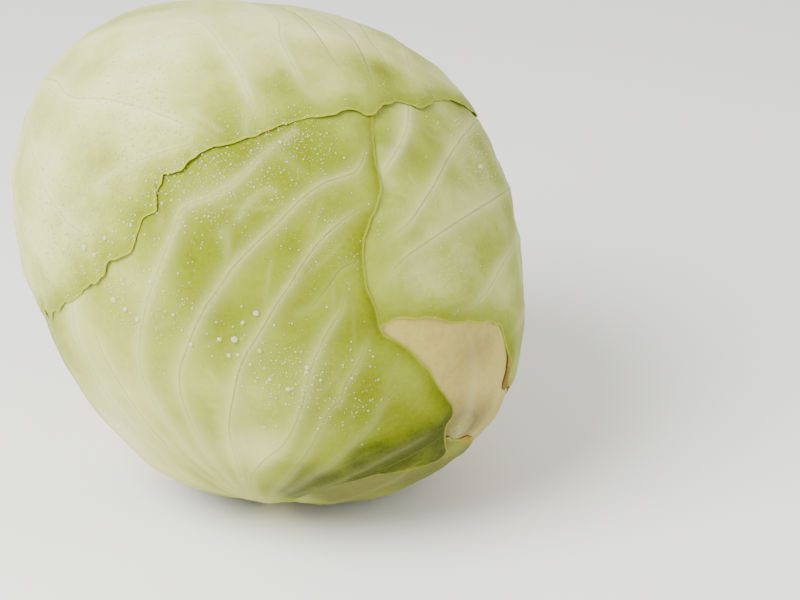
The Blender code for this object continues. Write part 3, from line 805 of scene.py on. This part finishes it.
def makeStem():
    look = stemCut
    bpy.ops.object.select_all(action="DESELECT")
    bpy.ops.mesh.primitive_cylinder_add(vertices=look["sides"], radius=look["radius"] * mm,
                                        depth=look["taperStart"] * mm,
                                        location=(headCentre[0] * mm, 0, look["taperStart"] * mm / 2))
    piece = bpy.context.object
    piece.name = "stemCore"
    bpy.ops.object.transform_apply(location=True, rotation=True, scale=True)
    mesh = piece.data
    setMode("EDIT")
    bpy.ops.mesh.select_mode(type="FACE")
    bpy.ops.mesh.select_all(action="DESELECT")
    setMode("OBJECT")
    for face in mesh.polygons:
        face.select = face.normal.z > 0.9
    setMode("EDIT")
    # the core's taper, drawn up and rounded off
    radius = look["radius"]
    for rise, nextRadius in look["taper"]:
        bpy.ops.mesh.extrude_region_move(TRANSFORM_OT_translate={"value": (0, 0, rise * mm)})
        bpy.ops.transform.resize(value=(nextRadius / radius, nextRadius / radius, 1),
                                 center_override=(headCentre[0] * mm, 0, 0))
        radius = nextRadius
    bpy.ops.mesh.poke()
    bpy.ops.mesh.select_all(action="DESELECT")
    setMode("OBJECT")
    for face in mesh.polygons:
        face.select = face.normal.z < -0.9
    setMode("EDIT")
    # rings across the cut face, the outermost a worn edge
    bpy.ops.mesh.inset(thickness=look["edge"] * mm)
    for ring in range(look["cutRings"]):
        bpy.ops.mesh.inset(thickness=look["cutRingWidth"] * mm)
    bpy.ops.mesh.poke()
    bpy.ops.mesh.select_all(action="DESELECT")
    setMode("OBJECT")
    for vertex in mesh.vertices:
        x, y, z = vertex.co.x / mm - headCentre[0], vertex.co.y / mm, vertex.co.z / mm
        reach = math.hypot(x, y)
        bearing = math.atan2(y, x)
        if z < 0.01:
            uneven = 0.12 * (1 + noise.noise(Vector((x, y, 3)) / 2.5))
            hollow = look["hollow"] * float(ease(reach, 11.5, 7.0))
            edgeUp = look["edge"] * float(ease(reach, 13.2, 14.0))
            vertex.co.z = (edgeUp + (hollow + uneven) * float(ease(reach, 13.0, 11.5))) * mm
        if reach > 12 and z < look["taperStart"] + 1:
            wobble = 1 + 0.012 * math.sin(3 * bearing + 1) + 0.008 * math.sin(7 * bearing)
            vertex.co.x = (headCentre[0] + x * wobble) * mm
            vertex.co.y = y * wobble * mm
    bpy.ops.object.shade_smooth_by_angle(angle=math.radians(45))
    mesh.materials.clear()
    mesh.materials.append(stemMaterial())
    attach(piece, "root")
    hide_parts("stem")
    print("stem made:", len(mesh.polygons), "faces")


makeStem()


heartLook = {
    "shade": "#C9C68E",
    "light": "#DEDAAC",
    "streakSize": 9,  # mm
}


def heartMaterial():
    # Inner cabbage leaves seen in the gaps round the stem: pale, satin and faintly streaked
    material, tree, shader = newMaterial("paleInnerLeaves")
    place = addNode(tree, "TexCoord").outputs["Object"]
    streaks = addNode(tree, "TexNoise", None, {"Scale": 1 / (heartLook["streakSize"] * mm), "Detail": 4.0},
                      {"Vector": place})
    shades = addNode(tree, "ValToRGB", None, None, {"Fac": streaks.outputs["Fac"]})
    paintRamp(shades, ((0.35, heartLook["shade"]), (0.68, heartLook["light"])))
    tree.links.new(shades.outputs["Color"], shader.inputs["Base Color"])
    setInputs(shader, {"Roughness": 0.45, "IOR": 1.42})
    return material


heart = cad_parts["inner_head"]
heart.data.materials.clear()
heart.data.materials.append(heartMaterial())


# Dew: misted water drops that stand up as beads on the wax
dew = {
    "seed": 8,
    # longitude, latitude, spread in degrees, count, smallest and largest width in mm
    "mist": (
        (-45, 50, 13, 560, 0.25, 0.75), (-40, 28, 9, 520, 0.35, 1.0), (-46, 18, 8, 220, 0.35, 1.0),
        (-28, 39, 6, 260, 0.3, 0.9), (2, 48, 9, 320, 0.3, 0.8), (-15, 37, 7, 330, 0.35, 0.95),
        (-5, 34, 7, 180, 0.3, 0.8),
        (6, -2, 7, 280, 0.3, 0.95), (41, 16, 8, 220, 0.25, 0.6), (74, 31, 7, 200, 0.3, 0.7),
        (14, 25, 8, 160, 0.25, 0.6), (10, 43, 8, 240, 0.3, 0.85), (-20, 10, 9, 240, 0.3, 0.9),
        (18, -9, 7, 120, 0.3, 0.8), (-60, 20, 14, 260, 0.25, 0.7), (-20, 62, 16, 260, 0.25, 0.6),
        (40, 62, 18, 160, 0.25, 0.6), (-28, 12, 5, 120, 0.4, 1.0), (100, 40, 22, 160, 0.25, 0.7),
        (-110, 35, 24, 260, 0.25, 0.7), (170, 60, 25, 160, 0.25, 0.7),
    ),
    # longitude, latitude, width in mm
    "drops": (
        (-41.3, 18.8, 2.3), (-35.8, 22.0, 1.7), (-38.1, 18.0, 1.5), (-32.4, 9.7, 2.0), (-29.0, 8.5, 1.7),
        (-25.7, 7.2, 1.7), (-0.2, 11.1, 1.9), (-2.9, 9.2, 1.4), (-4.6, 5.6, 2.2), (-7.7, 5.4, 1.4),
        (-13.6, 3.8, 1.5), (-5.9, 2.0, 1.5), (-4.0, 2.3, 1.3), (0.4, 3.4, 1.4), (9.6, -0.4, 1.6),
        (9.4, -1.4, 1.3), (5.8, -5.1, 1.6), (70.5, 28.6, 2.0), (-22.9, 31.4, 1.1), (6.3, 45.6, 1.4),
        (-29.4, 25.9, 1.2), (2.2, -3.0, 1.2), (-1.6, 0.2, 1.1), (12.2, -3.4, 1.1), (-17.5, 9.5, 1.2),
        (-23.0, 15.5, 1.3), (-30.5, 14.5, 1.2),
    ),
    "large": 1.0,  # mm, a bead wider than this has the finer shape
    "flatness": (0.62, 0.75),  # height to width of a wide and of a narrow bead
    "wide": 0.6,  # mm
    "stretch": 0.16,  # how much longer than wide the longest bead is
    "sink": 0.17,  # how high its middle lies above the leaf, as a share of its height
    "cell": 2.0,  # mm, the grid that finds beads close to each other
    # painted light: pale so that each bead looks lit by the light it focuses and scatters
    "colour": "#EAEDB4",
}


def dewMaterial():
    # Clear water in tiny beads with a bright glint each, and a pale, partly opaque colour that paints the light the
    # beads focus and scatter
    material, tree, shader = newMaterial("dewWater")
    setInputs(shader, {"Base Color": linearColour(dew["colour"]), "Roughness": 0.05, "IOR": 1.33,
                       "Transmission Weight": 0.55})
    return material


def beadShape(segments, rings):
    # one bead, modelled once: a ball one unit wide whose lower cap is cut off where it meets the leaf
    bpy.ops.object.select_all(action="DESELECT")
    bpy.ops.mesh.primitive_uv_sphere_add(segments=segments, ring_count=rings, radius=0.5)
    bead = bpy.context.object
    setMode("EDIT")
    bpy.ops.mesh.select_all(action="SELECT")
    bpy.ops.mesh.bisect(plane_co=(0, 0, -0.2), plane_no=(0, 0, 1), use_fill=True, clear_inner=True)
    setMode("OBJECT")
    corners = np.array([vertex.co for vertex in bead.data.vertices])
    faces = [list(face.vertices) for face in bead.data.polygons]
    bpy.data.objects.remove(bead)
    return corners, faces


def makeDew(blades):
    look = dew
    picker = np.random.default_rng(look["seed"])
    trees = [BVHTree.FromObject(piece, bpy.context.evaluated_depsgraph_get()) for piece in blades]
    wanted = []
    for lon, lat, spread, count, smallest, largest in look["mist"]:
        middle = direction(lon, lat)
        across = unit(np.cross(middle, [0.2, 0.3, 0.9]))
        up = np.cross(middle, across)
        shiftsX, shiftsY, sizes = picker.normal(0, 1, count), picker.normal(0, 1, count), picker.random(count)
        for shiftX, shiftY, share in zip(shiftsX, shiftsY, sizes):
            way = middle + math.radians(spread) * (across * shiftX + up * shiftY) * 0.75
            wanted.append((unit(way), smallest + (largest - smallest) * share ** 3))
    for lon, lat, width in look["drops"]:
        wanted.append((direction(lon, lat), width))
    small = beadShape(6, 4)
    large = beadShape(12, 8)
    store = {index: ([], [], 0) for index in range(len(blades))}
    kept = 0
    grid = {}
    for way, width in sorted(wanted, key=lambda pair: -pair[1]):
        best = None
        for index, tree in enumerate(trees):
            start = Vector((headCentre + way * 115) * mm)
            hit, normal, face, far = tree.ray_cast(start, Vector(-way))
            if hit is not None and (best is None or far < best[3]):
                best = (index, hit, normal, far)
        if best is None:
            continue
        index, hit, normal, far = best
        cell = tuple(math.floor(value / (look["cell"] * mm)) for value in hit)
        clash = False
        for shift in product((-1, 0, 1), repeat=3):
            for other, otherWidth in grid.get(tuple(map(sum, zip(cell, shift))), ()):
                if (other - hit).length < (width + otherWidth) * 0.5 * mm:
                    clash = True
        if clash:
            continue
        grid.setdefault(cell, []).append((hit, width))
        corners, faces = large if width > look["large"] else small
        turn = normal.to_track_quat("Z", "Y").to_matrix()
        spin = picker.random() * 6.28
        stretch = 1 + look["stretch"] * picker.random()
        flat = look["flatness"][0 if width > look["wide"] else 1]
        shaped = corners * [stretch, 1, flat] * width * mm
        shaped = shaped @ np.array(Matrix.Rotation(spin, 3, "Z")).T
        shaped = shaped @ np.array(turn).T + np.array(hit + normal * (look["sink"] * flat * width * mm))
        points, polygons, used = store[index]
        points.append(shaped)
        polygons.extend([[corner + used for corner in face] for face in faces])
        store[index] = (points, polygons, used + len(corners))
        kept += 1
    water = dewMaterial()
    for index, piece in enumerate(blades):
        points, polygons, used = store[index]
        if not points:
            continue
        mesh = bpy.data.meshes.new("dewOn" + piece.name[0].upper() + piece.name[1:])
        mesh.from_pydata(np.vstack(points).tolist(), [], polygons)
        mesh.shade_smooth()
        mesh.materials.append(water)
        drops = bpy.data.objects.new(mesh.name, mesh)
        bpy.context.scene.collection.objects.link(drops)
        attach(drops, "root")
    print("dew drops placed:", kept)


makeDew(blades)


# Camera, light and floor, in metres
view = {
    "elevation": 25,
    "distance": 0.756,
    "lens": 100,  # mm
    "sensor": 36,  # mm
    "toRight": 0.0431,  # how far the view's middle lies from the head's centre
    "down": 0.0171,
}
rise = math.radians(view["elevation"])
forward = Vector((0, math.cos(rise), -math.sin(rise)))
upward = Vector((0, math.sin(rise), math.cos(rise)))
target = Vector(headCentre * mm) + Vector((1, 0, 0)) * view["toRight"] - upward * view["down"]
bpy.ops.object.camera_add(location=target - forward * view["distance"], rotation=(math.radians(90) - rise, 0, 0))
camera = bpy.context.object
camera.name = "viewCamera"
camera.data.lens = view["lens"]
camera.data.sensor_width = view["sensor"]
camera.data.clip_start = 0.01
bpy.context.scene.camera = camera

studio = {
    "floor": "#F4F3EF",
    "floorSize": 6,
    "surround": "#F8F8F5",
    "surroundStrength": 1.1,
    "keyPlace": (-0.55, -0.55, 0.85),
    "keySize": 0.7,
    "keyPower": 30.0,
    "fillPlace": (0.7, -0.5, 0.5),
    "fillSize": 0.9,
    "fillPower": 3.0,
}
bpy.ops.mesh.primitive_plane_add(size=studio["floorSize"], location=(0, 0, 0))
floor = bpy.context.object
floor.name = "floor"
floorMaterial, floorTree, floorShader = newMaterial("mattePaper")
setInputs(floorShader, {"Base Color": linearColour(studio["floor"]), "Roughness": 0.9})
floor.data.materials.append(floorMaterial)
for name in ("key", "fill"):
    place = Vector(studio[name + "Place"])
    aim = (place - Vector(headCentre * mm)).to_track_quat("Z", "Y").to_euler()
    bpy.ops.object.light_add(type="AREA", location=place, rotation=aim)
    lamp = bpy.context.object
    lamp.name = name + "Light"
    lamp.data.shape = "DISK"
    lamp.data.size = studio[name + "Size"]
    lamp.data.energy = studio[name + "Power"]
world = bpy.data.worlds.new("studio")
bpy.context.scene.world = world
world.use_nodes = True
setInputs(world.node_tree.nodes["Background"],
          {"Color": linearColour(studio["surround"]), "Strength": studio["surroundStrength"]})
print("camera, light and floor set")
